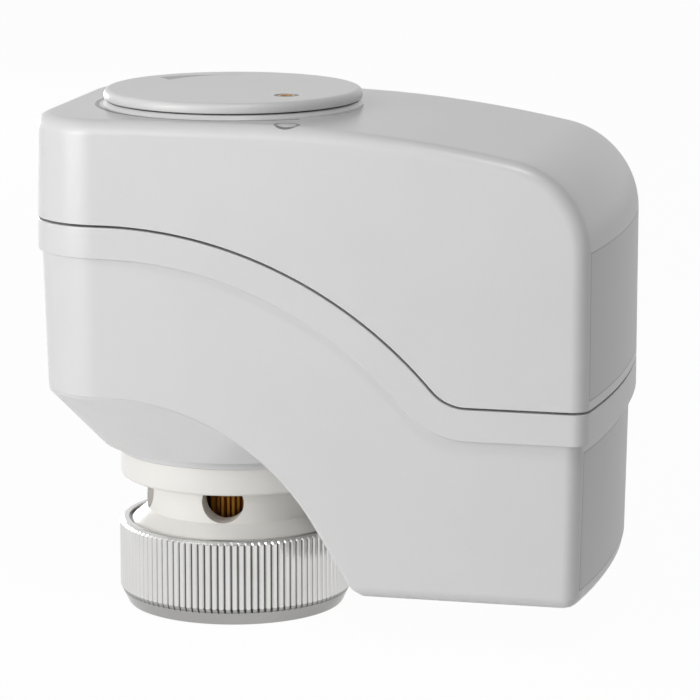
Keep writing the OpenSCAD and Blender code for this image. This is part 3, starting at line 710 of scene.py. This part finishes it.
# %% Key socket
dial_z, dial_top, dial_r, dial_edge = 80.75, 82.35, 20.25, 0.9
socket_out, socket_at, socket_r = 13.3, math.radians(-37), 1.9
socket_x, socket_y = socket_out * math.cos(socket_at), socket_out * math.sin(socket_at)
socket_top = dial_top - 0.03
pen = Pen("key_socket", socket_x, dial_z, socket_y)
for r, z in ((socket_r, dial_z), (socket_r, socket_top), (0, socket_top), (0, dial_z)):
    pen.line(socket_x + r, z)
socket = pen.turn(48, socket_x, socket_y)
round_edges(lambda e: sharp(e) and all(c.z > socket_top - 0.05 for c in ends(e)),
            radius=0.2, segments=2)
close_edit()
key_flats = 2
key_r = key_flats / 2 / math.cos(math.radians(30))
carve(socket, rod("hexagon", socket_x, socket_y, low=dial_z + 0.3, high=84, r=key_r, vertices=6))
smooth(socket)

# %% [markdown]
# ## Position dial
# The dial is a flat moulded disc with a rounded edge and a stem that drops into the
# gearbox. A shallow dimple for a fingertip and the hole for the key socket are cut
# into it.

# %% Position dial
stem_r, stem_low = 5, 66.2
pen = Pen("dial_disc", 0, stem_low)
pen.lines((stem_r, stem_low), (stem_r, dial_z), (dial_r, dial_z), (dial_r, dial_top - dial_edge))
pen.arc(dial_r - dial_edge, dial_top - dial_edge, 90, 8)
pen.line(0, dial_top)
dial = pen.turn(192)
round_edges(lambda e: sharp(e) and all(c.xy.length > 20 for c in ends(e)),
            radius=0.15, segments=2)
close_edit()

dimple_x, dimple_y, dimple_r, dimple_depth = -3.5, 14.4, 30, 0.12
dimple_low = dial_top - dimple_depth
reach = math.degrees(math.acos(1 - (dimple_depth + 0.05) / dimple_r))
pen = Pen("dimple", dimple_x, dimple_low, dimple_y)
pen.arc(dimple_x, dimple_low + dimple_r, reach, 8)
pen.line(dimple_x, pen.z)
dimple = pen.turn(48, dimple_x, dimple_y)
close_edit()
carve(dial, dimple)
carve(dial, rod("socket_hole", socket_x, socket_y, low=79, high=84, r=socket_r + 0.04,
                vertices=48))
carve(dial, rod("stem_hexagon", 0, 0, low=61.2, high=67, r=3.35, vertices=6), "UNION")
smooth(dial)

# %% [markdown]
# ## Sums on shader values
# Sums on shader values are written as plain Python, because a long chain of nodes is
# hard to read. The small class below wraps a socket, and each operator adds one Math
# node.

# %% Shader values
class Value:
    def __init__(self, graph, socket):
        self.graph, self.socket = graph, socket

    def _math(self, operation, *inputs):
        return self.graph.add("ShaderNodeMath", {"operation": operation}, dict(enumerate(inputs)))

    def __add__(self, other):
        return self._math("ADD", self, other)

    def __sub__(self, other):
        return self._math("SUBTRACT", self, other)

    def __rsub__(self, other):
        return self._math("SUBTRACT", other, self)

    def __mul__(self, other):
        return self._math("MULTIPLY", self, other)

    def power(self, exponent):
        return self._math("POWER", self, exponent)

    def size(self):
        return self._math("ABSOLUTE", self)

    def over(self, limit):
        return self._math("GREATER_THAN", self, limit)

    def under(self, limit):
        return self._math("LESS_THAN", self, limit)

    def larger(self, other):
        return self._math("MAXIMUM", self, other)

    def clamp(self):
        return self.graph.add("ShaderNodeClamp", {}, {0: self})

    def beside(self, output):
        return Value(self.graph, self.socket.node.outputs[output])

    __radd__ = __add__
    __rmul__ = __mul__


def from_axis(x, y):
    return (x * x + y * y).power(0.5)


print("shader values ready")

# %% [markdown]
# ## Finishes
# Every other node is added by one method, which takes the node's type, its settings and
# what goes into its sockets. A finish is a material with a Principled shader. Patterns
# read Object coordinates, so they stay on a piece when it moves.

# %% Finishes
class Graph:
    def __init__(self, tree):
        self.tree = tree

    def add(self, kind, settings, sockets, output=0):
        node = self.tree.nodes.new(kind)
        for key, value in settings.items():
            setattr(node, key, value)
        for key, value in sockets.items():
            self.feed(node.inputs[key], value)
        return Value(self, node.outputs[output])

    def feed(self, socket, value):
        if isinstance(value, Value):
            self.tree.links.new(value.socket, socket)
        else:
            socket.default_value = value

    def show(self, output, value):
        self.feed(self.tree.nodes[output].inputs["Surface"], value)


class Finish(Graph):
    def __init__(self, name, **constants):
        self.material = bpy.data.materials.new(name)
        self.material.use_nodes = True
        super().__init__(self.material.node_tree)
        self.surface = self.tree.nodes["Principled BSDF"]
        self.set(**constants)

    def set(self, **sockets):
        for key, value in sockets.items():
            self.feed(self.surface.inputs[key.replace("_", " ")], value)

    def place(self, stretch):
        here = self.add("ShaderNodeTexCoord", {}, {}, "Object")
        return self.add("ShaderNodeMapping", {}, {"Vector": here, "Scale": stretch})

    def noise(self, size, detail, stretch=(1, 1, 1)):
        return self.add("ShaderNodeTexNoise", {}, {"Vector": self.place(stretch),
                                                   "Scale": 1 / (size * MM), "Detail": detail})

    def axes(self):
        in_mm = self.place((1 / MM, 1 / MM, 1 / MM))
        first = self.add("ShaderNodeSeparateXYZ", {}, {0: in_mm})
        return [first.beside(axis) for axis in "XYZ"]

    def blend(self, amount, first, second):
        return self.add("ShaderNodeMix", {"data_type": "RGBA"},
                        {0: amount, 6: first, 7: second}, 2)

    def bump(self, height, depth, strength):
        return self.add("ShaderNodeBump", {}, {"Height": height, "Distance": depth * MM,
                                               "Strength": strength})


def colour(red, green, blue):
    def linear(c):
        c /= 255
        return c / 12.92 if c <= 0.04045 else ((c + 0.055) / 1.055) ** 2.4
    return (linear(red), linear(green), linear(blue), 1)


print("finishes ready")

# %% [markdown]
# ## Moulded plastics
# The housing is a pale grey moulding with a very fine spark-eroded grain, so its
# gloss is soft. Slow noise shifts the grey by a shade or two, as handling does, and
# fine noise gives the grain. The neck and the gears are unpainted plastics, smoother.

# %% Plastics
def moulded(name, pale, dark, rough, grain, depth, print_on=None):
    finish = Finish(name, IOR=1.49)
    slow, fine = finish.noise(22, 3), finish.noise(grain, 3)
    base = finish.blend(slow * 0.8 + fine * 0.2, dark, pale)
    if print_on:
        for ink, tone in print_on(*finish.axes()):
            base = finish.blend(ink, base, tone)
    finish.set(Base_Color=base, Roughness=rough - 0.06 + fine * 0.12,
               Normal=finish.bump(fine, depth, 0.35))
    return finish.material


ivory_neck = moulded("ivory_neck", colour(236, 235, 232), colour(230, 227, 221),
                     rough=0.36, grain=0.5, depth=0.01)
white_gears = moulded("white_gears", colour(236, 236, 230), colour(224, 224, 216),
                      rough=0.4, grain=0.4, depth=0.01)
black_rubber = moulded("black_rubber", colour(44, 44, 46), colour(30, 30, 32),
                       rough=0.62, grain=0.35, depth=0.03)
green_terminal = moulded("green_terminal", colour(58, 138, 84), colour(46, 118, 70),
                         rough=0.45, grain=0.4, depth=0.01)
amber_film = moulded("amber_film", colour(214, 158, 52), colour(196, 138, 40),
                     rough=0.3, grain=0.8, depth=0.02)
green_board = moulded("green_board", colour(38, 104, 62), colour(28, 86, 50),
                      rough=0.34, grain=0.6, depth=0.02)
print("plastics made")

# %% [markdown]
# ## Marks on the grey pieces
# Two plain plates lie on the right end, darker than the housing partly by their own tone
# and partly as painted shade on that end. An arc and a hoop are printed beside the dial,
# and the dial has a ramp that grows with the stroke. All of them are masks made from
# the place on the piece, so they need no picture and stay crisp at any size.

# %% Marks
arc_grey, hoop_grey = colour(112, 112, 112), colour(118, 118, 118)
# The plate grey is partly the plates' own tone and partly painted shade on the right end.
plate_grey_and_painted_shade, frame_grey = colour(178, 178, 178), colour(168, 168, 168)
ramp_grey = colour(132, 132, 131)
frame_w, end_x, top_only, edge_only, dial_only = 0.3, 57, 79, 76, 82
arc_r, arc_half, arc_start, arc_stop = 21.25, 0.36, math.radians(145), math.radians(-47)
hoop_x, hoop_y, hoop_r, hoop_half = 14.2, -22.05, 1.75, 0.28
ramp_at, ramp_r = math.radians(131), 15.5


def plate_on_end(x, y, z, half, low, high):
    def patch(inset):
        upright = z.over(low + inset) * z.under(high - inset)
        return x.over(end_x) * y.size().under(half - inset) * upright
    whole = patch(0)
    # The plate patch is darkened partly as painted shade on the right end.
    return [(whole * 0.6, plate_grey_and_painted_shade), (whole - patch(frame_w), frame_grey)]


def cover_print(x, y, z):
    after = (y * math.cos(arc_start) - x * math.sin(arc_start)).over(0)
    before = (x * math.sin(arc_stop) - y * math.cos(arc_stop)).over(0)
    arc = (from_axis(x, y) - arc_r).size().under(arc_half) * after * before * z.over(top_only)
    hoop = (from_axis(x - hoop_x, y - hoop_y) - hoop_r).size().under(hoop_half)
    plate = plate_on_end(x, y, z, half=22.9, low=39.6, high=62.2)
    return [(arc, arc_grey), (hoop * z.over(edge_only), hoop_grey)] + plate


def lower_print(x, y, z):
    return plate_on_end(x, y, z, half=21.6, low=10, high=31.6)


def dial_print(x, y, z):
    along = y * math.cos(ramp_at) - x * math.sin(ramp_at)
    wedge = (from_axis(x, y) - ramp_r).size().under((along + 5.5) * 0.17)
    return [(wedge * along.under(5) * y.over(0) * z.over(dial_only), ramp_grey)]


pale_grey, mid_grey = colour(216, 216, 216), colour(208, 208, 208)
dial_grey = colour(209, 209, 208)
grey_cover = moulded("grey_cover", pale_grey, mid_grey, rough=0.3, grain=0.28, depth=0.02,
                     print_on=cover_print)
grey_shell = moulded("grey_shell", pale_grey, mid_grey, rough=0.3, grain=0.28, depth=0.02,
                     print_on=lower_print)
grey_dial = moulded("grey_dial", pale_grey, dial_grey, rough=0.32, grain=0.25, depth=0.015,
                    print_on=dial_print)
print("marked plastics made")

# %% [markdown]
# ## Metals
# Slow noise lifts the roughness of a metal in patches, and fine turning lines run round
# the axis. Brass, steel, copper and ferrite use the same recipe with their own colours.

# %% Metals
def metal(name, bright, dull, rough, grain):
    finish = Finish(name, Metallic=1.0)
    slow, fine = finish.noise(9, 3), finish.noise(grain, 2, (1, 1, 6))
    finish.set(Base_Color=finish.blend(slow, dull, bright),
               Roughness=rough - 0.05 + slow * 0.06 + fine * 0.06,
               Normal=finish.bump(fine, 0.01, 0.25))
    return finish.material


# The pusher's brass is painted darker, as painted shade for its place inside the neck.
brass_in_painted_shade = metal("brass_in_painted_shade", colour(150, 104, 44), colour(104, 70, 28),
                   rough=0.3, grain=0.5)
brass = metal("brass_turned", colour(226, 182, 92), colour(196, 148, 66),
              rough=0.28, grain=0.5)
steel = metal("steel_plain", colour(190, 191, 194), colour(168, 169, 172),
              rough=0.3, grain=0.5)
copper = metal("copper_winding", colour(206, 128, 82), colour(170, 96, 56),
               rough=0.35, grain=0.3)
ferrite = metal("ferrite_rotor", colour(72, 72, 75), colour(52, 52, 55),
                rough=0.5, grain=0.5)
print("metals made")

# %% [markdown]
# ## Plating and key socket
# The plating is bright but not a mirror. The grooves of the knurl are painted darker as
# painted shade, and the turned bands over and under it are painted a shade darker as a
# painted reflection. The key socket has a dull ring and bare metal in its well.

# %% Plating and key socket
groove_depth, knurl_low, knurl_top, band_top, shoulder_z = 0.22, 2.1, 13.1, 2.75, 13.25
well_r = 1.2


def knurled(name, bright, dull, painted_shade, rough):
    finish = Finish(name, Metallic=1.0)
    slow, fine = finish.noise(7, 3), finish.noise(0.35, 2, (1, 1, 5))
    x, y, z = finish.axes()
    out = from_axis(x, y)
    # Painted shade: the grooves of the knurl are darkened towards the dark colour.
    deep = (1 - (out - root_r) * (1 / groove_depth)).clamp() * out.over(root_r - 0.05)
    groove = deep * z.over(knurl_low) * z.under(knurl_top)
    # Painted reflection: the turned band at the foot and the top rim are darkened towards the same
    # colour.
    turned = z.under(band_top) * out.over(17) * 0.55 + z.over(shoulder_z) * 0.3
    plated = finish.blend(turned, finish.blend(slow, dull, bright), painted_shade)
    finish.set(Base_Color=finish.blend(groove, plated, painted_shade),
               Roughness=rough + groove * 0.2 + fine * 0.06,
               Normal=finish.bump(fine, 0.012, 0.3))
    return finish.material


def key_socket(name, ring, well):
    finish = Finish(name)
    fine = finish.noise(0.4, 2)
    x, y, z = finish.axes()
    inside = from_axis(x - socket_x, y - socket_y).under(well_r)
    finish.set(Base_Color=finish.blend(inside, ring, well), Metallic=inside,
               Roughness=0.3 + fine * 0.12)
    return finish.material


# The dark colour below is painted shade in the grooves and a painted reflection on the turned
# bands.
nickel = knurled("nickel_plating", colour(238, 238, 237), colour(226, 225, 223),
                 painted_shade=colour(104, 103, 101), rough=0.12)
socket_brass = key_socket("socket_brass", ring=colour(84, 80, 72), well=colour(216, 188, 150))
print("plating and socket finish made")

# %% [markdown]
# ## Dress the pieces
# Each hand-made piece rides on the body of the solid that it stands for, gets its own
# finish, and hides that solid. The solids inside the housing keep their own shapes and
# only get their finish.

# %% Dress the pieces
def dress(piece, name, body, node, material):
    piece.name = name
    piece.data.materials.clear()
    piece.data.materials.append(material)
    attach(piece, body)
    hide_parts(node)


dress(cover, "cover_shell", "housing", "upper_cover", grey_cover)
dress(lower, "lower_shell", "housing", "lower_housing", grey_shell)
dress(neck, "neck_body", "housing", "valve_neck", ivory_neck)
dress(grommet, "inlet_grommet", "housing", "cable_grommet", black_rubber)
dress(nut, "nut_body", "nut", "union_nut", nickel)
dress(ring, "snap_ring", "nut", "nut_snap_ring", steel)
dress(dial, "dial_disc", "output", "position_dial", grey_dial)
dress(socket, "key_socket", "output", "crank_socket", socket_brass)

finishes = {"gear_plastic": white_gears, "brass": brass, "steel": steel, "copper": copper,
            "ferrite": ferrite, "board": green_board, "terminal": green_terminal,
            "capacitor": amber_film, "rubber": black_rubber, "neck_plastic": ivory_neck,
            "housing_plastic": grey_shell, "dial_plastic": grey_dial, "nickel": nickel}
for part in frame["record"]["subparts"]:
    node = nodes[part["node"]]
    # The pusher inside the neck takes the darker brass, which is painted shade.
    finish = brass_in_painted_shade if part["node"] == "pusher" else finishes[part["material_slot"]]
    node.data.materials.clear()
    node.data.materials.append(finish)
print("dressed", len(nodes), "solids and 8 pieces")

# %% [markdown]
# ## Sky
# The sky gives a weak even light, but the camera, mirrors and clear pieces see it plain
# white. Light Path tells the two apart, so the background is white with no more light
# on the object.

# %% Sky
sky_light = 0.23
white = (1, 1, 1, 1)
scene = bpy.context.scene
scene.view_settings.view_transform = "Standard"
scene.world = bpy.data.worlds.new("studio")
scene.world.use_nodes = True
sky = Graph(scene.world.node_tree)
seen = sky.add("ShaderNodeLightPath", {}, {}, "Is Camera Ray")
seen = seen.larger(seen.beside("Is Transmission Ray")).larger(seen.beside("Is Glossy Ray"))
weak = sky.tree.nodes["Background"]
weak.inputs["Color"].default_value = white
weak.inputs["Strength"].default_value = sky_light
plain = sky.add("ShaderNodeBackground", {}, {"Color": white, "Strength": 1})
weak_or_plain = {0: seen, 1: Value(sky, weak.outputs[0]), 2: plain}
sky.show("World Output", sky.add("ShaderNodeMixShader", {}, weak_or_plain))
print("sky at", sky_light)

# %% [markdown]
# ## Lamps
# A large soft lamp from the left front lights the long side, and a low one the rounded
# corner and the funnel. A small one overhead draws a thin bright line along the top
# edges, and a low one behind lights the back. The right end stays a shade darker.

# %% Lamps
def lamp(name, place, size, watts):
    bpy.ops.object.light_add(type="AREA", location=mm(*place))
    light = bpy.context.object
    light.name = name
    light.data.size = size * MM
    light.data.energy = watts
    light.rotation_euler = (light.location - look_at).to_track_quat("Z", "Y").to_euler()


lamp("key_lamp", place=(-330, -560, 330), size=420, watts=1.4)
lamp("low_lamp", place=(-440, -440, 50), size=320, watts=2.3)
lamp("top_lamp", place=(120, -280, 590), size=130, watts=0.75)
lamp("back_lamp", place=(-430, 560, 60), size=110, watts=1.3)
print("lamps set")

# %% [markdown]
# ## Floor
# The floor is a sheet of paper. It is white to the camera, bright in the plating, and a
# small share of real paper in the mix keeps a faint shadow.

# %% Floor
floor_size, camera_share, mirror_share = 6, 0.965, 0.6
choose()
bpy.ops.mesh.primitive_plane_add(size=floor_size)
floor = bpy.context.object
floor.name = "floor"
paper = Finish("paper_floor", Roughness=0.9, Base_Color=(0.9, 0.9, 0.9, 1))
direct = paper.add("ShaderNodeLightPath", {}, {}, "Is Camera Ray")
glowing = direct * camera_share + direct.beside("Is Glossy Ray") * mirror_share
glow = paper.add("ShaderNodeEmission", {}, {"Color": white, "Strength": 1.0})
real = Value(paper, paper.surface.outputs[0])
paper.show("Material Output", paper.add("ShaderNodeMixShader", {}, {0: glowing, 1: real, 2: glow}))
floor.data.materials.append(paper.material)
print("floor set")

# %% [markdown]
# ## Last update
# The view layer is brought up to date once more. The finished pieces have to stay
# inside the box of the solids.

# %% Last update
bpy.context.view_layer.update()
